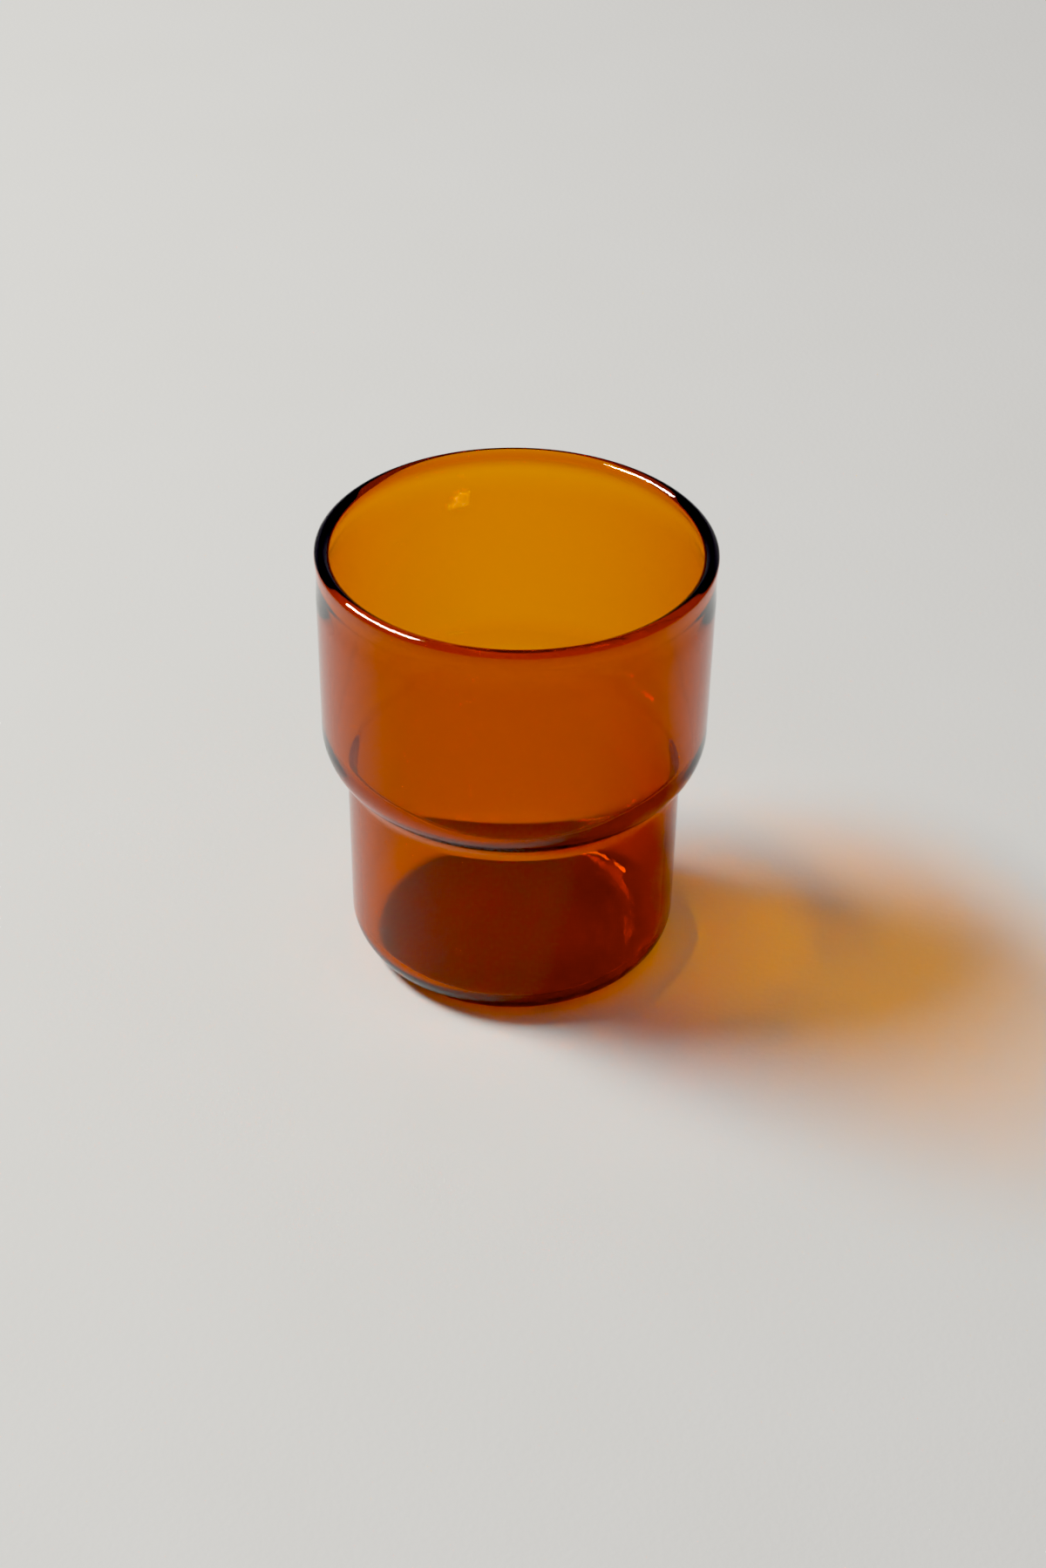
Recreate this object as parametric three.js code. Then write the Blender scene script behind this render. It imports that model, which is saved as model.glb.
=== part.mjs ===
// Stackable drinking glass: one piece of amber glass, with no separate or moving parts.
// Millimetres, +Z up. The origin is on the standing plane, under the middle of the foot.
// A single closed profile, revolved about Z, gives the outside, the rim and the inside of the solid.
import * as THREE from "three";

// Overall sizes
const GLASS_HEIGHT = 94.3; // standing plane to the crest of the rim
const RIM_DIAMETER = 80; // outside, over the fire-polished bead

// Glass thickness
const WALL = 2.2; // bowl and barrel
const BASE_THICKNESS = 3.0; // floor of the inside above the standing plane
const OUTER_OVERHANG = 0.2; // the rim's bead swells this far past the outer face of the wall
const INNER_OVERHANG = 0.65; // and this far past the inner face

// Fire-polished rim: a round ridge between two flatter slopes, and a tighter turn, the eave, below each slope
const OUTER_BEVEL_RADIUS = 2.6;
const INNER_BEVEL_RADIUS = 3.0;
const OUTER_EAVE_RADIUS = 0.9;
const INNER_EAVE_RADIUS = 1.0;
const BEVEL_START = THREE.MathUtils.degToRad(43); // angle from level, on both sides
const BEVEL_END = THREE.MathUtils.degToRad(63);
const WAIST_DEPTH = 0.1; // each face of the wall is drawn in this far below the bead
const OUTER_WAIST_RADIUS = 48; // hollow below the bead, and the swell that leads out of it into the wall
const INNER_WAIST_RADIUS = 8;

// Stacking: the barrel of one glass hangs in the bowl of the glass below, with its shoulder on that rim
const STACK_CLEARANCE = 2.75; // all round, between the barrel and the rim that it passes through
const FOOT_CLEARANCE = 5.1; // a stacked glass keeps its foot this far above the neck of the glass below

// Outside curves and draft
const SHOULDER_RADIUS = 11; // round turn from the bowl into the step
const NECK_RADIUS = 5; // hollow turn from the step into the barrel
const HEEL_RADIUS = 9.2; // round turn from the barrel into the foot
const BOWL_TAPER = 0.5; // the bowl's radius is this much smaller at the shoulder than at the rim
const BARREL_TAPER = 0.5; // the barrel's radius is this much smaller at the heel than at the neck

// Inside curves: the glass is thickest in the shoulder
const INNER_SHOULDER_RADIUS = 12; // hollow turn from the bowl into the step
const INNER_NECK_RADIUS = 4; // round turn from the step into the barrel
const STEP_RAISE = 1.5; // the middle of the step lies this much higher inside than outside
const INNER_HEEL_RADIUS = 6; // hollow turn from the barrel into the floor

// Foot
const STANDING_RING_WIDTH = 3.5; // flat ring that touches the table
const PUSH_UP = 0.3; // the underside domes up this far inside the ring

// Facets
const FACETS_AROUND = 72;
const CHORD_ERROR = 0.05; // a facet of the profile strays this far from its arc at most
const LEAST_ARC_FACETS = 2;

// Directions in the profile, as angles from straight out, anticlockwise
const OUT = 0;
const UP = Math.PI / 2;
const IN = Math.PI;
const DOWN = -Math.PI / 2;
const FULL_TURN = 2 * Math.PI;

// Radii of the bowl and the barrel
const bowlTopRadius = RIM_DIAMETER / 2 - OUTER_OVERHANG;
const bowlBaseRadius = bowlTopRadius - BOWL_TAPER;
const bowlInsideRadius = bowlTopRadius - WALL;
const rimInnerRadius = bowlInsideRadius - INNER_OVERHANG;
const barrelTopRadius = rimInnerRadius - STACK_CLEARANCE;
const barrelBaseRadius = barrelTopRadius - BARREL_TAPER;

// Rim: the slopes and eaves take up part of the bead's width, and the ridge's arc takes up the rest
const outerRun = bevelRun(OUTER_EAVE_RADIUS, OUTER_BEVEL_RADIUS);
const innerRun = bevelRun(INNER_EAVE_RADIUS, INNER_BEVEL_RADIUS);
const beadWidth = WALL + OUTER_OVERHANG + INNER_OVERHANG;
const ridgeRadius = (beadWidth - outerRun - innerRun) / (2 * Math.cos(BEVEL_END));
const ridgeAxis = RIM_DIAMETER / 2 - outerRun - ridgeRadius * Math.cos(BEVEL_END);
const ridge = point(ridgeAxis, GLASS_HEIGHT - ridgeRadius);
const outerSlope = along(ridge, BEVEL_END, ridgeRadius - OUTER_BEVEL_RADIUS);
const outerEave = along(outerSlope, BEVEL_START, OUTER_BEVEL_RADIUS - OUTER_EAVE_RADIUS);
const innerSlope = along(ridge, IN - BEVEL_END, ridgeRadius - INNER_BEVEL_RADIUS);
const innerEave = along(innerSlope, IN - BEVEL_START, INNER_BEVEL_RADIUS - INNER_EAVE_RADIUS);

// Below the rim, on each face of the wall: the waist's hollow, and the swell that leads out of it
const outerWaistAxis = bowlTopRadius - WAIST_DEPTH + OUTER_WAIST_RADIUS;
const outerDrop = otherSide(OUTER_WAIST_RADIUS + OUTER_EAVE_RADIUS, outerWaistAxis - outerEave.x);
const outerWaist = point(outerWaistAxis, outerEave.y - outerDrop);
const outerFall = otherSide(2 * OUTER_WAIST_RADIUS, 2 * OUTER_WAIST_RADIUS - WAIST_DEPTH);
const outerSwell = point(bowlTopRadius - OUTER_WAIST_RADIUS, outerWaist.y - outerFall);
const outerWaistStart = direction(outerWaist, outerSwell) + FULL_TURN;
const innerWaistAxis = bowlInsideRadius + WAIST_DEPTH - INNER_WAIST_RADIUS;
const innerDrop = otherSide(INNER_WAIST_RADIUS + INNER_EAVE_RADIUS, innerEave.x - innerWaistAxis);
const innerWaist = point(innerWaistAxis, innerEave.y - innerDrop);
const innerFall = otherSide(2 * INNER_WAIST_RADIUS, 2 * INNER_WAIST_RADIUS - WAIST_DEPTH);
const innerSwell = point(bowlInsideRadius + INNER_WAIST_RADIUS, innerWaist.y - innerFall);
const innerWaistStart = direction(innerWaist, innerEave);

// Stacking step: the shoulder's arc meets the neck's arc with no flat between them.
// A stacked glass rises until its shoulder's arc rests on the inner eave below: that sets the neck's height.
const shoulderAxis = bowlBaseRadius - SHOULDER_RADIUS;
const neckAxis = barrelTopRadius + NECK_RADIUS;
const shoulderAboveNeck = otherSide(SHOULDER_RADIUS + NECK_RADIUS, neckAxis - shoulderAxis);
const shoulderAboveEave = otherSide(SHOULDER_RADIUS + INNER_EAVE_RADIUS, innerEave.x - shoulderAxis);
const neckHeight = (innerEave.y + shoulderAboveEave - shoulderAboveNeck - FOOT_CLEARANCE) / 2;
const neck = point(neckAxis, neckHeight);
const shoulder = point(shoulderAxis, neckHeight + shoulderAboveNeck);
const stepAngle = direction(shoulder, neck);

// The same step on the inside
const innerShoulderAxis = bowlBaseRadius - WALL - INNER_SHOULDER_RADIUS;
const innerNeckAxis = barrelTopRadius - WALL + INNER_NECK_RADIUS;
const innerRise = otherSide(INNER_SHOULDER_RADIUS + INNER_NECK_RADIUS, innerNeckAxis - innerShoulderAxis);
const innerMiddle = neckHeight + shoulderAboveNeck / 2 + STEP_RAISE;
const innerNeck = point(innerNeckAxis, innerMiddle - innerRise / 2);
const innerShoulder = point(innerShoulderAxis, innerMiddle + innerRise / 2);
const innerStepAngle = direction(innerShoulder, innerNeck);

// Heel, inside and out, and the dome under the foot
const heel = point(barrelBaseRadius - HEEL_RADIUS, HEEL_RADIUS);
const innerHeel = point(barrelBaseRadius - WALL - INNER_HEEL_RADIUS, BASE_THICKNESS + INNER_HEEL_RADIUS);
const ringInnerRadius = heel.x - STANDING_RING_WIDTH;
const domeRadius = (ringInnerRadius ** 2 + PUSH_UP ** 2) / (2 * PUSH_UP);
const dome = point(0, PUSH_UP - domeRadius);
const ringInnerEdge = point(ringInnerRadius, 0);

/** A point of the profile: distance from the glass's axis, and height. */
function point(radius, height) {
  return new THREE.Vector2(radius, height);
}

/** The point at a distance from another one, along an angle of the profile. */
function along(from, angle, distance) {
  return point(from.x + distance * Math.cos(angle), from.y + distance * Math.sin(angle));
}

/** How much of the bead's width an eave and the slope above it take up. */
function bevelRun(eaveRadius, bevelRadius) {
  const eave = eaveRadius * (1 - Math.cos(BEVEL_START));
  const slope = bevelRadius * (Math.cos(BEVEL_START) - Math.cos(BEVEL_END));
  return eave + slope;
}

/** The second short side of a right-angled triangle. */
function otherSide(longest, side) {
  return Math.sqrt(longest ** 2 - side ** 2);
}

/** The angle of the straight way from one point of the profile to another. */
function direction(from, to) {
  return Math.atan2(to.y - from.y, to.x - from.x);
}

/** Points along an arc of the profile, with both its ends. */
function arc(centre, radius, from, to) {
  const turn = to - from;
  const facetTurn = 2 * Math.acos(1 - CHORD_ERROR / radius);
  const facets = Math.max(LEAST_ARC_FACETS, Math.ceil(Math.abs(turn) / facetTurn));
  return Array.from({ length: facets + 1 }, (_, i) => {
    const angle = from + (turn * i) / facets;
    return along(centre, angle, radius);
  });
}

/** From the middle of the underside, out over the standing ring and up the bowl to the swell. */
function outside() {
  return [
    point(0, PUSH_UP),
    ...arc(dome, domeRadius, UP, direction(dome, ringInnerEdge)),
    ...arc(heel, HEEL_RADIUS, DOWN, OUT),
    ...arc(neck, NECK_RADIUS, IN, stepAngle + IN),
    ...arc(shoulder, SHOULDER_RADIUS, stepAngle, OUT),
  ];
}

/** Over the rim, from the swell outside to the swell inside; the eaves and the ridge keep their extremes. */
function rim() {
  return [
    ...arc(outerSwell, OUTER_WAIST_RADIUS, OUT, direction(outerSwell, outerWaist)),
    ...arc(outerWaist, OUTER_WAIST_RADIUS, outerWaistStart, direction(outerWaist, outerEave)),
    ...arc(outerEave, OUTER_EAVE_RADIUS, direction(outerEave, outerWaist), OUT),
    ...arc(outerEave, OUTER_EAVE_RADIUS, OUT, BEVEL_START),
    ...arc(outerSlope, OUTER_BEVEL_RADIUS, BEVEL_START, BEVEL_END),
    ...arc(ridge, ridgeRadius, BEVEL_END, UP),
    ...arc(ridge, ridgeRadius, UP, IN - BEVEL_END),
    ...arc(innerSlope, INNER_BEVEL_RADIUS, IN - BEVEL_END, IN - BEVEL_START),
    ...arc(innerEave, INNER_EAVE_RADIUS, IN - BEVEL_START, IN),
    ...arc(innerEave, INNER_EAVE_RADIUS, IN, direction(innerEave, innerWaist) + FULL_TURN),
    ...arc(innerWaist, INNER_WAIST_RADIUS, innerWaistStart, direction(innerWaist, innerSwell)),
    ...arc(innerSwell, INNER_WAIST_RADIUS, direction(innerSwell, innerWaist), IN),
  ];
}

/** From below the rim, down the wall to the middle of the floor. */
function inside() {
  return [
    ...arc(innerShoulder, INNER_SHOULDER_RADIUS, OUT, innerStepAngle),
    ...arc(innerNeck, INNER_NECK_RADIUS, innerStepAngle + IN, IN),
    ...arc(innerHeel, INNER_HEEL_RADIUS, OUT, DOWN),
    point(0, BASE_THICKNESS),
  ];
}

/** Leaves out a point that repeats the one before it, where two arcs meet. */
function withoutRepeats(points) {
  const SAME = 1e-6;
  return points.filter((p, i) => i === 0 || p.distanceTo(points[i - 1]) > SAME);
}

/** The whole glass, turned so that its axis is Z. */
function tumbler() {
  const profile = withoutRepeats([...outside(), ...rim(), ...inside()]);
  const geometry = new THREE.LatheGeometry(profile, FACETS_AROUND);
  geometry.rotateX(Math.PI / 2);
  const amberGlass = new THREE.MeshStandardMaterial({
    color: 0xc87208,
    roughness: 0.04,
    metalness: 0,
    transparent: true,
    opacity: 0.6,
  });
  const mesh = new THREE.Mesh(geometry, amberGlass);
  mesh.name = "tumbler";
  return mesh;
}

const glass = new THREE.Group();
glass.add(tumbler());

export default glass;
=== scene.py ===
"""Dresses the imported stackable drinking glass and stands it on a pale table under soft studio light.

The glass is one piece. A fine lathe mesh with the solid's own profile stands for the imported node, and its
amber comes from what the glass absorbs. All sizes are in metres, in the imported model's frame.
"""

import logging
import math
from dataclasses import dataclass
from enum import Enum, IntEnum

import bpy
from mathutils import Matrix, Quaternion, Vector


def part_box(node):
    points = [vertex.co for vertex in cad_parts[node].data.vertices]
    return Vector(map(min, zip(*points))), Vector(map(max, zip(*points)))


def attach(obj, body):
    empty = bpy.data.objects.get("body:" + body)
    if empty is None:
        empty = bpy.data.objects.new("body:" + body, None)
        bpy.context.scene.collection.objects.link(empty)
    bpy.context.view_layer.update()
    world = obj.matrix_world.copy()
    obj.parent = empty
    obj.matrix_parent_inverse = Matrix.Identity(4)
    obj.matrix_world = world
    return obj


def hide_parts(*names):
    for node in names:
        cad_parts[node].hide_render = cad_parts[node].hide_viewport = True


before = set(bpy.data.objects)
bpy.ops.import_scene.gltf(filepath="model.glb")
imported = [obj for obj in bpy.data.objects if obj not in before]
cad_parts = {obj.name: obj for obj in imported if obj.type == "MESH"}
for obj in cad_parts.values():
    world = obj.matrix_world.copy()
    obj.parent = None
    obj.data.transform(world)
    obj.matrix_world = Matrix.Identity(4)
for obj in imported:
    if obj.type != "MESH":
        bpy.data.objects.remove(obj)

LOG = logging.getLogger("drinking_glass")
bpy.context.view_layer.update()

NODE = "tumbler"
BODY = "root"
MM = 0.001
FULL_TURN = 2 * math.pi
LEAST_ARC_STEPS = 2
OPAQUE = 1.0
WHITE = (1.0, 1.0, 1.0, OPAQUE)


class Heading(float, Enum):
    """A direction in the glass's profile, as an angle from straight out, anticlockwise."""

    OUT = 0.0
    UP = math.pi / 2
    IN = math.pi
    DOWN = -math.pi / 2


def heading(start: Vector, end: Vector) -> float:
    """Finds the angle of the straight way between two points of the profile.

    Args:
        start: Where the way begins, as radius and height.
        end: Where it ends.

    Returns:
        The angle from straight out, in radians.
    """
    way = end - start
    return math.atan2(way.y, way.x)


def polar(angle: float) -> Vector:
    """Gives the step of length one along an angle of the profile."""
    return Vector((math.cos(angle), math.sin(angle)))


def mirrored(step: Vector) -> Vector:
    """Turns a step that leads out into one that leads in."""
    return Vector((-step.x, step.y))


def other_side(longest: float, side: float) -> float:
    """Gives the second short side of a right-angled triangle."""
    return math.sqrt(longest**2 - side**2)


@dataclass(frozen=True)
class Arc:
    """A round stretch of the profile, turning about a centre.

    Attributes:
        centre: The arc's centre, as radius and height.
        radius: The arc's radius.
        start: The angle where the stretch begins.
        end: The angle where it ends.
    """

    centre: Vector
    radius: float
    start: float
    end: float

    def points(self, chord_error: float) -> list[Vector]:
        """Steps along the arc.

        Args:
            chord_error: How far a straight step may stray from the arc.

        Returns:
            The points of the stretch, with both ends.
        """
        step = 2 * math.acos(1 - chord_error / self.radius)
        turn = self.end - self.start
        steps = max(LEAST_ARC_STEPS, math.ceil(abs(turn) / step))
        angles = (self.start + turn * i / steps for i in range(steps + 1))
        return [self.centre + self.radius * polar(angle) for angle in angles]


@dataclass(frozen=True)
class Unevenness:
    """Slow variation over a surface, shared by the materials as one node group.

    Attributes:
        name: The group's name.
    """

    name: str = "unevenness"

    def group(self) -> bpy.types.ShaderNodeTree:
        """Builds the group at its first use.

        Returns:
            A node group that takes Scale, Detail, Low and High. It gives a Value between Low and High, and
            the Height that the Value comes from.
        """
        if self.name in bpy.data.node_groups:
            return bpy.data.node_groups[self.name]
        group = bpy.data.node_groups.new(self.name, "ShaderNodeTree")
        for socket in ("Scale", "Detail", "Low", "High"):
            group.interface.new_socket(socket, in_out="INPUT", socket_type="NodeSocketFloat")
        for socket in ("Value", "Height"):
            group.interface.new_socket(socket, in_out="OUTPUT", socket_type="NodeSocketFloat")
        entry = group.nodes.new("NodeGroupInput")
        leave = group.nodes.new("NodeGroupOutput")
        place = group.nodes.new("ShaderNodeTexCoord")
        noise = group.nodes.new("ShaderNodeTexNoise")
        levels = group.nodes.new("ShaderNodeMapRange")
        link = group.links.new
        link(place.outputs["Object"], noise.inputs["Vector"])
        link(entry.outputs["Scale"], noise.inputs["Scale"])
        link(entry.outputs["Detail"], noise.inputs["Detail"])
        link(noise.outputs["Fac"], levels.inputs["Value"])
        link(entry.outputs["Low"], levels.inputs["To Min"])
        link(entry.outputs["High"], levels.inputs["To Max"])
        link(levels.outputs["Result"], leave.inputs["Value"])
        link(noise.outputs["Fac"], leave.inputs["Height"])
        return group

    def node(
        self, material: bpy.types.Material, scale: float, detail: float, low: float = 0.0, high: float = 1.0
    ) -> bpy.types.Node:
        """Places the group in a material.

        Args:
            material: The material that uses it.
            scale: Waves for each metre.
            detail: How many finer octaves ride on the waves.
            low: Value in the hollows.
            high: Value on the crests.

        Returns:
            The group's node.
        """
        node = material.node_tree.nodes.new("ShaderNodeGroup")
        node.node_tree = self.group()
        for socket, value in zip(("Scale", "Detail", "Low", "High"), (scale, detail, low, high)):
            node.inputs[socket].default_value = value
        return node

    @staticmethod
    def bump(material: bpy.types.Material, height: bpy.types.NodeSocket, rise: float) -> None:
        """Raises a material's surface by a height.

        Args:
            material: The material, with its shader in place.
            height: The socket that gives the height, from zero to one.
            rise: What a height of one stands for, in metres.
        """
        tree = material.node_tree
        bump = tree.nodes.new("ShaderNodeBump")
        bump.inputs["Distance"].default_value = rise
        tree.links.new(height, bump.inputs["Height"])
        tree.links.new(bump.outputs["Normal"], tree.nodes["Principled BSDF"].inputs["Normal"])


@dataclass(frozen=True)
class AmberGlass:
    """Clear glass that is tinted through its thickness.

    Attributes:
        refraction: Index of refraction.
        tint: Colour that a thick layer tends to, as the Volume Absorption colour.
        density: How strongly each metre of glass absorbs.
        smear: Roughness that handling adds at most.
        smear_scale: Smears for each metre.
        smear_detail: Finer octaves in the smears.
        ripple: Height of the slow waves that moulding leaves.
        ripple_scale: Waves for each metre.
        ripple_detail: Finer octaves in the waves.
    """

    refraction: float = 1.48
    tint: tuple[float, float, float] = (0.897, 0.7, 0.0)
    density: float = 1820.0
    smear: float = 0.02
    smear_scale: float = 45.0
    smear_detail: float = 3.0
    ripple: float = 0.02 * MM
    ripple_scale: float = 40.0
    ripple_detail: float = 1.0

    def material(self) -> bpy.types.Material:
        """Builds the glass's shader.

        Returns:
            A material with a clear, slightly uneven surface and an absorbing volume.
        """
        material = bpy.data.materials.new("amber_glass")
        material.use_nodes = True
        nodes = material.node_tree.nodes
        links = material.node_tree.links
        surface = nodes["Principled BSDF"]
        surface.inputs["Base Color"].default_value = WHITE
        surface.inputs["Transmission Weight"].default_value = 1.0
        surface.inputs["IOR"].default_value = self.refraction
        unevenness = Unevenness()
        smears = unevenness.node(material, self.smear_scale, self.smear_detail, high=self.smear)
        links.new(smears.outputs["Value"], surface.inputs["Roughness"])
        ripples = unevenness.node(material, self.ripple_scale, self.ripple_detail)
        unevenness.bump(material, ripples.outputs["Height"], self.ripple)
        absorption = nodes.new("ShaderNodeVolumeAbsorption")
        absorption.inputs["Color"].default_value = (*self.tint, OPAQUE)
        absorption.inputs["Density"].default_value = self.density
        links.new(absorption.outputs["Volume"], nodes["Material Output"].inputs["Volume"])
        return material


@dataclass(frozen=True)
class TableTop:
    """A plain, pale, matt table with a faint cloudiness and a fine grain.

    Attributes:
        colour: Base colour where it is lightest.
        shade: Base colour where it is darkest.
        cloud_scale: Clouds for each metre.
        cloud_detail: Finer octaves in the clouds.
        matt: Roughness where it is smoothest.
        chalky: Roughness where it is roughest.
        gloss: Level of its mirror reflections.
        grain: Height of the fine grain.
        grain_scale: Grains for each metre.
        grain_detail: Finer octaves in the grain.
    """

    colour: tuple[float, float, float] = (0.465, 0.464, 0.448)
    shade: tuple[float, float, float] = (0.435, 0.433, 0.415)
    cloud_scale: float = 18.0
    cloud_detail: float = 5.0
    matt: float = 0.7
    chalky: float = 0.85
    gloss: float = 0.3
    grain: float = 0.05 * MM
    grain_scale: float = 700.0
    grain_detail: float = 2.0

    def material(self) -> bpy.types.Material:
        """Builds the table's shader.

        Returns:
            A material that is lighter and smoother on the crests of its clouds.
        """
        material = bpy.data.materials.new("pale_table")
        material.use_nodes = True
        nodes = material.node_tree.nodes
        links = material.node_tree.links
        surface = nodes["Principled BSDF"]
        unevenness = Unevenness()
        clouds = unevenness.node(material, self.cloud_scale, self.cloud_detail, self.chalky, self.matt)
        blend = nodes.new("ShaderNodeMixRGB")
        blend.inputs["Color1"].default_value = (*self.shade, OPAQUE)
        blend.inputs["Color2"].default_value = (*self.colour, OPAQUE)
        links.new(clouds.outputs["Height"], blend.inputs["Fac"])
        links.new(blend.outputs["Color"], surface.inputs["Base Color"])
        links.new(clouds.outputs["Value"], surface.inputs["Roughness"])
        surface.inputs["Specular IOR Level"].default_value = self.gloss
        grains = unevenness.node(material, self.grain_scale, self.grain_detail)
        unevenness.bump(material, grains.outputs["Height"], self.grain)
        return material


@dataclass(frozen=True)
class Crown:
    """The centres that the rim turns about, as radius and height.

    Attributes:
        ridge: Centre of the round ridge on top.
        ridge_radius: Radius of that ridge.
        outer_slope: Centre of the flatter slope outside the ridge.
        outer_eave: Centre of the turn below that slope.
        inner_slope: Centre of the flatter slope inside the ridge.
        inner_eave: Centre of the turn below that slope.
    """

    ridge: Vector
    ridge_radius: float
    outer_slope: Vector
    outer_eave: Vector
    inner_slope: Vector
    inner_eave: Vector


@dataclass(frozen=True)
class Tumbler:
    """The glass body: bead, bowl, shoulder, neck, barrel, heel and foot in one revolved shell.

    Attributes:
        height: Standing plane to the crest of the rim.
        rim_radius: Outside radius over the bead.
        wall: Thickness of the bowl and the barrel.
        base_thickness: Height of the inside floor.
        outer_overhang: How far the bead swells past the wall's outer face.
        inner_overhang: How far it swells past the inner face.
        outer_bevel: Radius of the rim's flatter slope on the outside.
        inner_bevel: Radius of the same slope on the inside.
        outer_eave: Radius of the turn from that slope down into the outside of the bead.
        inner_eave: The same turn on the inside.
        bevel_start: Where both slopes begin, as an angle from level.
        bevel_end: Where both slopes end at the ridge.
        waist_depth: How far each face of the wall draws in below the bead.
        outer_waist: Radius of the hollow below the bead, and of the swell that leads out of it, outside.
        inner_waist: The same on the inside.
        stack_clearance: Play between the barrel and the rim that it passes through.
        foot_clearance: Gap between a stacked glass's foot and the neck below it.
        shoulder_radius: Round turn from the bowl into the step.
        neck_radius: Hollow turn from the step into the barrel.
        inner_shoulder_radius: Hollow turn inside the shoulder, where the glass is thickest.
        inner_neck_radius: Round turn inside the neck.
        step_raise: How much higher the middle of the step lies inside than outside.
        heel_radius: Round turn from the barrel into the foot.
        inner_heel_radius: Hollow turn from the inside of the barrel into its floor.
        bowl_taper: How much narrower the bowl's radius is at the shoulder.
        barrel_taper: How much narrower the barrel's radius is at the heel.
        ring_width: Width of the flat ring that the glass stands on.
        push_up: Height of the dome under the foot.
        segments: Steps round the axis.
        chord_error: How far a step of the profile may stray from its arc.
        longest_step: Longest straight step of the profile.
        shortest_step: Points that lie closer than this, where two arcs meet, are one point.
    """

    height: float
    rim_radius: float
    wall: float = 2.2 * MM
    base_thickness: float = 3.0 * MM
    outer_overhang: float = 0.2 * MM
    inner_overhang: float = 0.65 * MM
    outer_bevel: float = 2.6 * MM
    inner_bevel: float = 3.0 * MM
    outer_eave: float = 0.9 * MM
    inner_eave: float = 1.0 * MM
    bevel_start: float = math.radians(43.0)
    bevel_end: float = math.radians(63.0)
    waist_depth: float = 0.1 * MM
    outer_waist: float = 48.0 * MM
    inner_waist: float = 8.0 * MM
    stack_clearance: float = 2.75 * MM
    foot_clearance: float = 5.1 * MM
    shoulder_radius: float = 11.0 * MM
    neck_radius: float = 5.0 * MM
    inner_shoulder_radius: float = 12.0 * MM
    inner_neck_radius: float = 4.0 * MM
    step_raise: float = 1.5 * MM
    heel_radius: float = 9.2 * MM
    inner_heel_radius: float = 6.0 * MM
    bowl_taper: float = 0.5 * MM
    barrel_taper: float = 0.5 * MM
    ring_width: float = 3.5 * MM
    push_up: float = 0.3 * MM
    segments: int = 240
    chord_error: float = 0.004 * MM
    longest_step: float = 1.6 * MM
    shortest_step: float = 0.00004 * MM

    @classmethod
    def from_frame(cls) -> "Tumbler":
        """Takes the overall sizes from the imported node."""
        low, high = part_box(NODE)
        return cls(height=high[2] - low[2], rim_radius=(high[0] - low[0]) / 2)

    @property
    def bowl_top(self) -> float:
        """Outside radius of the bowl, below the bead."""
        return self.rim_radius - self.outer_overhang

    @property
    def bowl_inside(self) -> float:
        """Inside radius of the bowl, below the bead."""
        return self.bowl_top - self.wall

    @property
    def bowl_base(self) -> float:
        """Outside radius of the bowl, at the shoulder."""
        return self.bowl_top - self.bowl_taper

    @property
    def barrel_top(self) -> float:
        """Outside radius of the barrel, at the neck."""
        return self.bowl_inside - self.inner_overhang - self.stack_clearance

    @property
    def barrel_base(self) -> float:
        """Outside radius of the barrel, at the heel."""
        return self.barrel_top - self.barrel_taper

    @property
    def shoulder_axis(self) -> float:
        """Distance of the shoulder's centre from the glass's axis."""
        return self.bowl_base - self.shoulder_radius

    @property
    def neck_axis(self) -> float:
        """Distance of the neck's centre from the glass's axis."""
        return self.barrel_top + self.neck_radius

    @property
    def shoulder_rise(self) -> float:
        """Height of the shoulder's centre above the neck's, where the two arcs meet with no flat between."""
        return other_side(self.shoulder_radius + self.neck_radius, self.neck_axis - self.shoulder_axis)

    def crown(self) -> Crown:
        """Works out the rim's centres.

        Returns:
            The centres. The slopes and eaves take up part of the bead's width, and the ridge takes the rest.
        """
        begin = polar(self.bevel_start)
        end = polar(self.bevel_end)
        bead = self.wall + self.outer_overhang + self.inner_overhang
        outer_run = self.outer_eave * (1 - begin.x) + self.outer_bevel * (begin.x - end.x)
        inner_run = self.inner_eave * (1 - begin.x) + self.inner_bevel * (begin.x - end.x)
        ridge_radius = (bead - outer_run - inner_run) / (2 * end.x)
        ridge_axis = self.rim_radius - outer_run - ridge_radius * end.x
        ridge = Vector((ridge_axis, self.height - ridge_radius))
        outer_slope = ridge - (self.outer_bevel - ridge_radius) * end
        outer_eave = outer_slope + (self.outer_bevel - self.outer_eave) * begin
        inner_slope = ridge - (self.inner_bevel - ridge_radius) * mirrored(end)
        inner_eave = inner_slope + (self.inner_bevel - self.inner_eave) * mirrored(begin)
        return Crown(ridge, ridge_radius, outer_slope, outer_eave, inner_slope, inner_eave)

    def neck_height(self) -> float:
        """Works out how high the neck's centre lies.

        Returns:
            The height at which a stacked glass rests its shoulder's arc on the inner eave of this one, with
            the foot's clearance left under it.
        """
        eave = self.crown().inner_eave
        above_eave = other_side(self.shoulder_radius + self.inner_eave, eave.x - self.shoulder_axis)
        return (eave.y + above_eave - self.shoulder_rise - self.foot_clearance) / 2

    def foot(self) -> list[Arc]:
        """Shapes the underside.

        Returns:
            The dome inside the standing ring, and the heel that turns up into the barrel.
        """
        heel = Vector((self.barrel_base - self.heel_radius, self.heel_radius))
        ring_edge = Vector((heel.x - self.ring_width, 0.0))
        dome_radius = (ring_edge.x**2 + self.push_up**2) / (2 * self.push_up)
        dome = Vector((0.0, self.push_up - dome_radius))
        return [
            Arc(dome, dome_radius, Heading.UP, heading(dome, ring_edge)),
            Arc(heel, self.heel_radius, Heading.DOWN, Heading.OUT),
        ]

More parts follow.
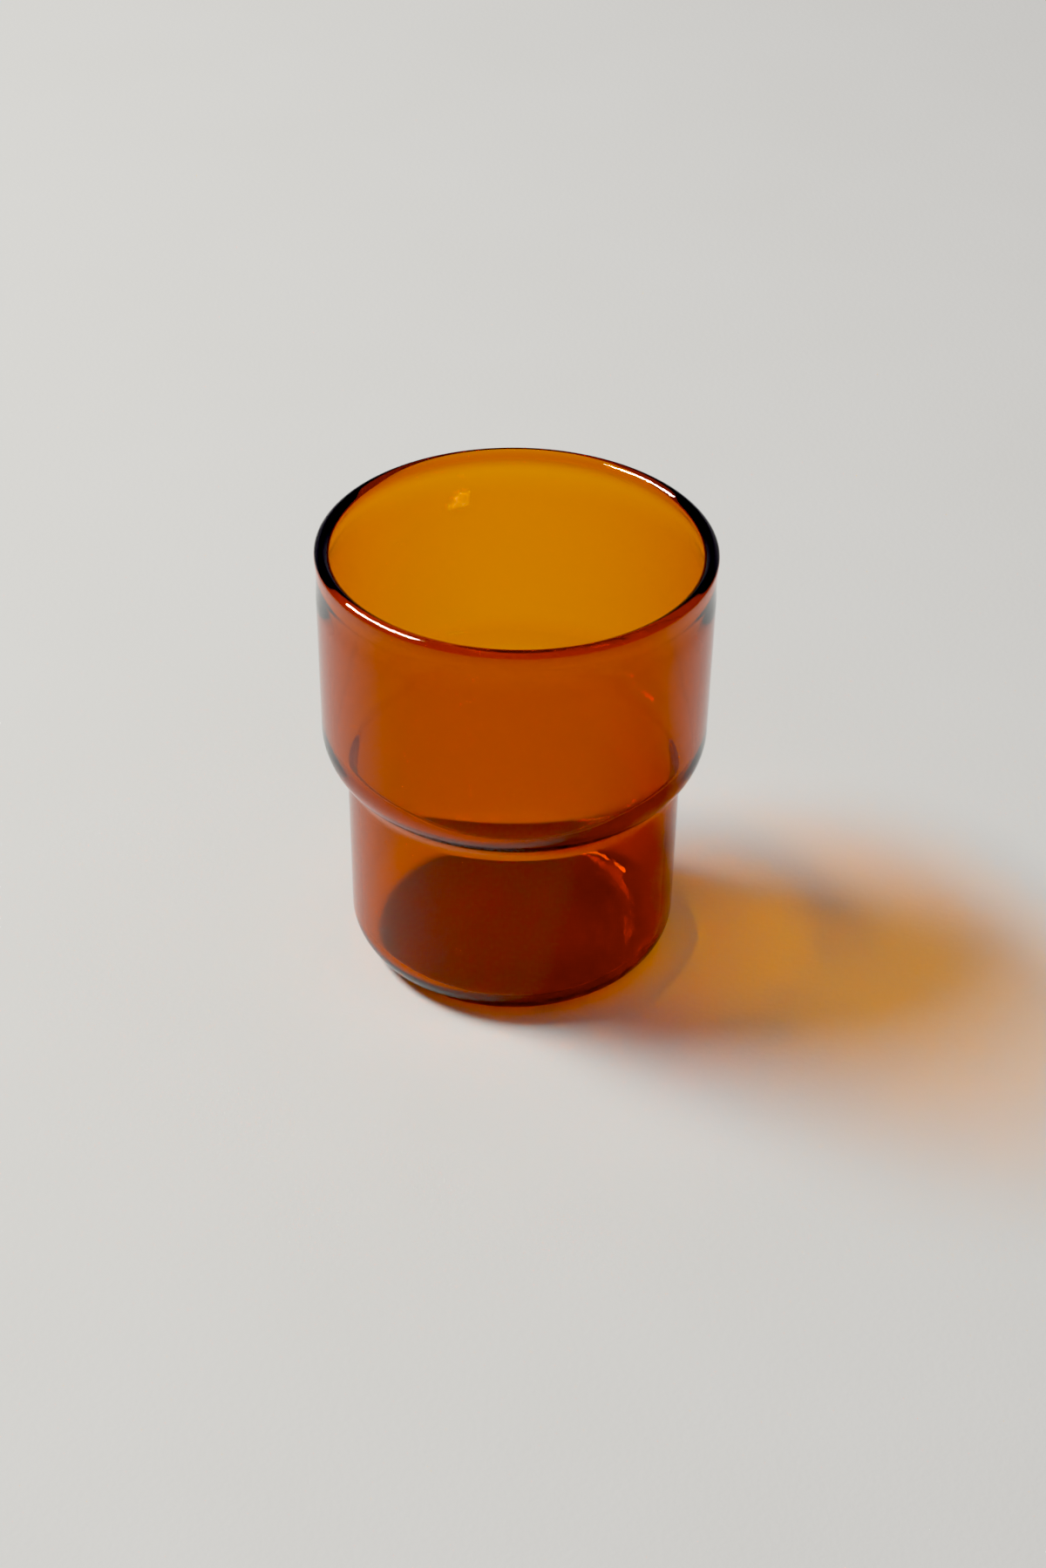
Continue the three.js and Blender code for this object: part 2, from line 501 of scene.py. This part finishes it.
    def outer_step(self) -> list[Arc]:
        """Shapes the stacking step on the outside.

        Returns:
            The neck above the barrel, and the shoulder that turns up into the bowl.
        """
        neck_height = self.neck_height()
        neck = Vector((self.neck_axis, neck_height))
        shoulder = Vector((self.shoulder_axis, neck_height + self.shoulder_rise))
        slope = heading(shoulder, neck)
        return [
            Arc(neck, self.neck_radius, Heading.IN, slope + Heading.IN),
            Arc(shoulder, self.shoulder_radius, slope, Heading.OUT),
        ]

    def outer_hollow(self) -> list[Arc]:
        """Shapes the waist on the outside.

        Returns:
            The swell at the top of the wall, and the hollow between it and the bead.
        """
        eave = self.crown().outer_eave
        waist_axis = self.bowl_top - self.waist_depth + self.outer_waist
        drop = other_side(self.outer_waist + self.outer_eave, waist_axis - eave.x)
        waist = Vector((waist_axis, eave.y - drop))
        fall = other_side(2 * self.outer_waist, 2 * self.outer_waist - self.waist_depth)
        swell = Vector((self.bowl_top - self.outer_waist, waist.y - fall))
        return [
            Arc(swell, self.outer_waist, Heading.OUT, heading(swell, waist)),
            Arc(waist, self.outer_waist, heading(waist, swell) + FULL_TURN, heading(waist, eave)),
        ]

    def bead(self) -> list[Arc]:
        """Shapes the rim's bead, between the hollow outside and the hollow inside.

        Returns:
            The eave and the slope outside, the two halves of the ridge, and the slope and the eave inside.
        """
        crown = self.crown()
        outer_waist = self.outer_hollow()[-1].centre
        inner_waist = self.inner_hollow()[0].centre
        outer_lip = heading(crown.outer_eave, outer_waist)
        inner_lip = heading(crown.inner_eave, inner_waist) + FULL_TURN
        inner_start = Heading.IN - self.bevel_start
        inner_end = Heading.IN - self.bevel_end
        return [
            Arc(crown.outer_eave, self.outer_eave, outer_lip, self.bevel_start),
            Arc(crown.outer_slope, self.outer_bevel, self.bevel_start, self.bevel_end),
            Arc(crown.ridge, crown.ridge_radius, self.bevel_end, Heading.UP),
            Arc(crown.ridge, crown.ridge_radius, Heading.UP, inner_end),
            Arc(crown.inner_slope, self.inner_bevel, inner_end, inner_start),
            Arc(crown.inner_eave, self.inner_eave, inner_start, inner_lip),
        ]

    def inner_hollow(self) -> list[Arc]:
        """Shapes the waist on the inside.

        Returns:
            The hollow below the bead, and the swell between it and the wall.
        """
        eave = self.crown().inner_eave
        waist_axis = self.bowl_inside + self.waist_depth - self.inner_waist
        drop = other_side(self.inner_waist + self.inner_eave, eave.x - waist_axis)
        waist = Vector((waist_axis, eave.y - drop))
        fall = other_side(2 * self.inner_waist, 2 * self.inner_waist - self.waist_depth)
        swell = Vector((self.bowl_inside + self.inner_waist, waist.y - fall))
        return [
            Arc(waist, self.inner_waist, heading(waist, eave), heading(waist, swell)),
            Arc(swell, self.inner_waist, heading(swell, waist), Heading.IN),
        ]

    def inner_step(self) -> list[Arc]:
        """Shapes the stacking step on the inside.

        Returns:
            The shoulder below the bowl, and the neck that turns down into the barrel.
        """
        shoulder_axis = self.bowl_base - self.wall - self.inner_shoulder_radius
        neck_axis = self.barrel_top - self.wall + self.inner_neck_radius
        both_radii = self.inner_shoulder_radius + self.inner_neck_radius
        rise = other_side(both_radii, neck_axis - shoulder_axis)
        middle = self.neck_height() + self.shoulder_rise / 2 + self.step_raise
        neck = Vector((neck_axis, middle - rise / 2))
        shoulder = Vector((shoulder_axis, middle + rise / 2))
        slope = heading(shoulder, neck)
        return [
            Arc(shoulder, self.inner_shoulder_radius, Heading.OUT, slope),
            Arc(neck, self.inner_neck_radius, slope + Heading.IN, Heading.IN),
        ]

    def inner_heel(self) -> Arc:
        """Shapes the inside of the heel.

        Returns:
            The turn from the inside of the barrel into its floor.
        """
        axis = self.barrel_base - self.wall - self.inner_heel_radius
        centre = Vector((axis, self.base_thickness + self.inner_heel_radius))
        return Arc(centre, self.inner_heel_radius, Heading.OUT, Heading.DOWN)

    def profile(self) -> list[Vector]:
        """Joins the arcs with straight stretches, cut into short steps.

        Returns:
            Points from the middle of the underside, over the rim, to the middle of the floor, as radius and
            height.
        """
        outside = [*self.foot(), *self.outer_step(), *self.outer_hollow()]
        inside = [*self.inner_hollow(), *self.inner_step(), self.inner_heel()]
        arcs = [*outside, *self.bead(), *inside]
        corners = [point for arc in arcs for point in arc.points(self.chord_error)]
        corners[0] = Vector((0.0, corners[0].y))
        corners.append(Vector((0.0, self.base_thickness)))
        points = [corners[0]]
        for corner in corners[1:]:
            last = points[-1]
            way = (corner - last).length
            if way > self.shortest_step:
                steps = math.ceil(way / self.longest_step)
                points += [last.lerp(corner, (i + 1) / steps) for i in range(steps)]
        return points

    def build(self) -> bpy.types.Object:
        """Revolves the profile into one closed, smooth shell.

        Returns:
            The new mesh object, linked to the scene.
        """
        profile = self.profile()
        rings = profile[1:-1]
        turns = [FULL_TURN * i / self.segments for i in range(self.segments)]
        vertices = [(p.x * math.cos(a), p.x * math.sin(a), p.y) for p in rings for a in turns]
        faces = []
        for ring in range(len(rings) - 1):
            for i in range(self.segments):
                here = ring * self.segments + i
                beside = ring * self.segments + (i + 1) % self.segments
                faces.append((here, beside, beside + self.segments, here + self.segments))
        under = len(vertices)
        vertices.append((0.0, 0.0, profile[0].y))
        floor = len(vertices)
        vertices.append((0.0, 0.0, profile[-1].y))
        last = (len(rings) - 1) * self.segments
        for i in range(self.segments):
            beside = (i + 1) % self.segments
            faces.append((beside, i, under))
            faces.append((last + i, last + beside, floor))
        mesh = bpy.data.meshes.new("glass_body")
        mesh.from_pydata(vertices, [], faces)
        mesh.shade_smooth()
        mesh.validate()
        body = bpy.data.objects.new("glass_body", mesh)
        bpy.context.collection.objects.link(body)
        return body


@dataclass(frozen=True)
class PhotoCamera:
    """The photograph's view.

    Attributes:
        frame_height_px: Height of the photograph.
        focal_px: Focal length in its pixels.
        eye: Where the camera stands.
        pitch: How far it looks down, in degrees.
        roll: How far it leans, in degrees.
        sensor_height: Height of the sensor in millimetres.
    """

    frame_height_px: float = 1799.0
    focal_px: float = 3843.4
    eye: tuple[float, float, float] = (1.936 * MM, -566.8 * MM, 434.1 * MM)
    pitch: float = 35.03
    roll: float = 0.873
    sensor_height: float = 36.0

    def build(self) -> None:
        """Makes the camera and makes it the scene's own."""
        lens = bpy.data.cameras.new("photo_camera")
        lens.sensor_fit = "VERTICAL"
        lens.sensor_height = self.sensor_height
        lens.lens = self.sensor_height * self.focal_px / self.frame_height_px
        camera = bpy.data.objects.new("photo_camera", lens)
        # A camera that isn't turned looks straight down.
        tilt = Matrix.Rotation(math.radians(90.0 - self.pitch), 4, "X")
        lean = Matrix.Rotation(math.radians(self.roll), 4, "Z")
        camera.matrix_world = Matrix.Translation(self.eye) @ tilt @ lean
        bpy.context.collection.objects.link(camera)
        bpy.context.scene.camera = camera


@dataclass(frozen=True)
class Softbox:
    """A rectangular studio lamp that faces the glass.

    Attributes:
        name: The lamp's name.
        direction: The way from the glass to the lamp.
        distance: How far off it hangs.
        size: Its width and height.
        power: Its power in watts.
        lean: How far its width is turned out of level, in degrees.
    """

    name: str
    direction: tuple[float, float, float]
    distance: float
    size: tuple[float, float]
    power: float
    lean: float

    def build(self) -> None:
        """Hangs the lamp, turned towards the foot of the glass."""
        lamp = bpy.data.lights.new(self.name, "AREA")
        lamp.shape = "RECTANGLE"
        lamp.size, lamp.size_y = self.size
        lamp.energy = self.power
        holder = bpy.data.objects.new(self.name, lamp)
        way = Vector(self.direction).normalized()
        holder.location = way * self.distance
        lean = Quaternion(way, math.radians(self.lean))
        holder.rotation_euler = (lean @ way.to_track_quat("Z", "Y")).to_euler()
        bpy.context.collection.objects.link(holder)


@dataclass(frozen=True)
class Studio:
    """The table, the lamp and the dim room around them.

    Attributes:
        table_span: Width of the square table top.
        table_gap: Air between the table and the foot, so that the two faces never share a plane.
        room: Colour of the room's own light.
        lamp: The lamp that makes the highlights and the glow.
        bounces: How many times light may turn in all, and pass through glass.
        glossy_bounces: How many times it may be mirrored.
    """

    table_span: float = 14.0
    table_gap: float = 0.05 * MM
    room: tuple[float, float, float] = (0.29, 0.278, 0.3)
    lamp: Softbox = Softbox(
        name="key_softbox",
        direction=(-0.628, 0.14, 0.765),
        distance=1.8,
        size=(1.05, 0.4),
        power=64.0,
        lean=42.0,
    )
    bounces: int = 32
    glossy_bounces: int = 16

    def build(self) -> None:
        """Lays the table, hangs the lamp and sets the room's light and the light's paths."""
        self.lay_table()
        self.lamp.build()
        self.light_room()
        self.free_light()

    def lay_table(self) -> None:
        """Lays the table top just under the foot."""
        half = self.table_span / 2
        level = -self.table_gap
        corners = [(-half, -half, level), (half, -half, level), (half, half, level), (-half, half, level)]
        mesh = bpy.data.meshes.new("table_top")
        mesh.from_pydata(corners, [], [(0, 1, 2, 3)])
        mesh.materials.append(TableTop().material())
        table = bpy.data.objects.new("table_top", mesh)
        bpy.context.collection.objects.link(table)

    def light_room(self) -> None:
        """Gives the room its own dim light."""
        world = bpy.data.worlds.new("dim_room")
        world.use_nodes = True
        world.node_tree.nodes["Background"].inputs["Color"].default_value = (*self.room, OPAQUE)
        bpy.context.scene.world = world

    def free_light(self) -> None:
        """Lets light go through the glass as often as it needs, unblurred and uncapped, to make the glow."""
        paths = bpy.context.scene.cycles
        paths.max_bounces = self.bounces
        paths.transmission_bounces = self.bounces
        paths.glossy_bounces = self.glossy_bounces
        paths.blur_glossy = 0.0
        paths.sample_clamp_indirect = 0.0


class MasterTone(IntEnum):
    """Where the Color Correction node keeps its overall settings, among sockets of the same names."""

    SATURATION = 2
    GAIN = 5


class MixSide(IntEnum):
    """Where the Mix node takes its two pictures, which share one name."""

    FIRST = 1
    SECOND = 2


# What a node's socket can be fed with
Source = bpy.types.NodeSocket | float | tuple[float, float, float, float]


@dataclass(frozen=True)
class Darkroom:
    """Lays nodes in the compositor and joins them.

    Attributes:
        tree: The compositor's tree.
    """

    tree: bpy.types.NodeTree

    def feed(self, socket: bpy.types.NodeSocket, source: Source) -> None:
        """Gives a socket what it works on.

        Args:
            socket: The socket of a node.
            source: Another node's socket to link it to, or the number or colour to set.
        """
        if isinstance(source, bpy.types.NodeSocket):
            self.tree.links.new(source, socket)
        else:
            socket.default_value = source

    def maths(self, operation: str, *sources: Source) -> bpy.types.NodeSocket:
        """Places a Math node.

        Args:
            operation: What the node does.
            sources: Its numbers, in order.

        Returns:
            The socket with the result.
        """
        node = self.tree.nodes.new("CompositorNodeMath")
        node.operation = operation
        for socket, source in zip(node.inputs, sources):
            self.feed(socket, source)
        return node.outputs["Value"]

    def mix(self, blend: str, first: Source, second: Source, clamp: bool = False) -> bpy.types.NodeSocket:
        """Places a Mix node.

        Args:
            blend: How the second picture acts on the first.
            first: The first picture.
            second: The second picture, or one number or colour for all of it.
            clamp: Whether the result stays between black and white.

        Returns:
            The socket with the mixed picture.
        """
        node = self.tree.nodes.new("CompositorNodeMixRGB")
        node.blend_type = blend
        node.use_clamp = clamp
        self.feed(node.inputs[MixSide.FIRST], first)
        self.feed(node.inputs[MixSide.SECOND], second)
        return node.outputs["Image"]


@dataclass(frozen=True)
class Development:
    """The picture's tone, set after the render as a print is developed.

    Attributes:
        exposure: Factor on all the light.
        hold: How strongly bright parts are held back, up to full white.
        saturation: Strength of the colours.
        black: Level of light that turns black.
        warmth: Share of what red has more than green that green takes on, which keeps dark reds brown.
    """

    exposure: float = 1.11
    hold: float = 0.455
    saturation: float = 1.32
    black: float = 0.03
    warmth: float = 0.043

    def build(self) -> None:
        """Sets the view transform and develops the render in the compositor."""
        scene = bpy.context.scene
        scene.view_settings.view_transform = "Standard"
        scene.use_nodes = True
        tree = scene.node_tree
        tree.nodes.clear()
        darkroom = Darkroom(tree)
        render = tree.nodes.new("CompositorNodeRLayers")
        exposed = self.expose(darkroom, render.outputs["Image"])
        toned = self.tone(darkroom, exposed)
        warmed = self.warm(darkroom, toned)
        print_out = tree.nodes.new("CompositorNodeComposite")
        darkroom.feed(print_out.inputs["Image"], warmed)

    def expose(self, darkroom: Darkroom, picture: bpy.types.NodeSocket) -> bpy.types.NodeSocket:
        """Brightens the picture, and holds bright parts back by their brightness squared.

        Args:
            darkroom: Where the nodes are laid.
            picture: The socket with the render.

        Returns:
            The socket with the exposed picture.
        """
        brightness = darkroom.tree.nodes.new("CompositorNodeRGBToBW")
        darkroom.feed(brightness.inputs["Image"], picture)
        topped = darkroom.maths("MINIMUM", brightness.outputs["Val"], 1 / self.exposure)
        squared = darkroom.maths("MULTIPLY", topped, topped)
        held = darkroom.maths("MULTIPLY_ADD", squared, self.hold * self.exposure**2, 1.0)
        factor = darkroom.maths("DIVIDE", self.exposure, held)
        return darkroom.mix("MULTIPLY", picture, factor)

    def tone(self, darkroom: Darkroom, picture: bpy.types.NodeSocket) -> bpy.types.NodeSocket:
        """Strengthens the colours, and takes the black level away with white left where it is.

        Args:
            darkroom: Where the nodes are laid.
            picture: The socket with the exposed picture.

        Returns:
            The socket with the toned picture.
        """
        span = 1 - self.black
        level = self.black / span
        strong = darkroom.tree.nodes.new("CompositorNodeColorCorrection")
        strong.inputs[MasterTone.SATURATION].default_value = self.saturation
        strong.inputs[MasterTone.GAIN].default_value = 1 / span
        darkroom.feed(strong.inputs["Image"], picture)
        return darkroom.mix("SUBTRACT", strong.outputs["Image"], (level, level, level, OPAQUE), clamp=True)

    def warm(self, darkroom: Darkroom, picture: bpy.types.NodeSocket) -> bpy.types.NodeSocket:
        """Adds to green a share of what red has more than it.

        Args:
            darkroom: Where the nodes are laid.
            picture: The socket with the toned picture.

        Returns:
            The socket with the finished picture.
        """
        parts = darkroom.tree.nodes.new("CompositorNodeSeparateColor")
        darkroom.feed(parts.inputs["Image"], picture)
        red, green, blue = (parts.outputs[name] for name in ("Red", "Green", "Blue"))
        redness = darkroom.maths("SUBTRACT", red, green)
        warmed = darkroom.maths("MULTIPLY_ADD", redness, self.warmth, green)
        joined = darkroom.tree.nodes.new("CompositorNodeCombineColor")
        for name, source in (("Red", red), ("Green", warmed), ("Blue", blue)):
            darkroom.feed(joined.inputs[name], source)
        return joined.outputs["Image"]


def main() -> None:
    """Builds the camera, the studio, the picture's tone and the glass, and reports the glass."""
    logging.basicConfig(level=logging.INFO, format="%(message)s")
    PhotoCamera().build()
    Studio().build()
    Development().build()
    body = Tumbler.from_frame().build()
    body.data.materials.append(AmberGlass().material())
    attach(body, BODY)
    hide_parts(NODE)
    LOG.info("%s: %d faces", body.name, len(body.data.polygons))


if __name__ == "__main__":
    main()
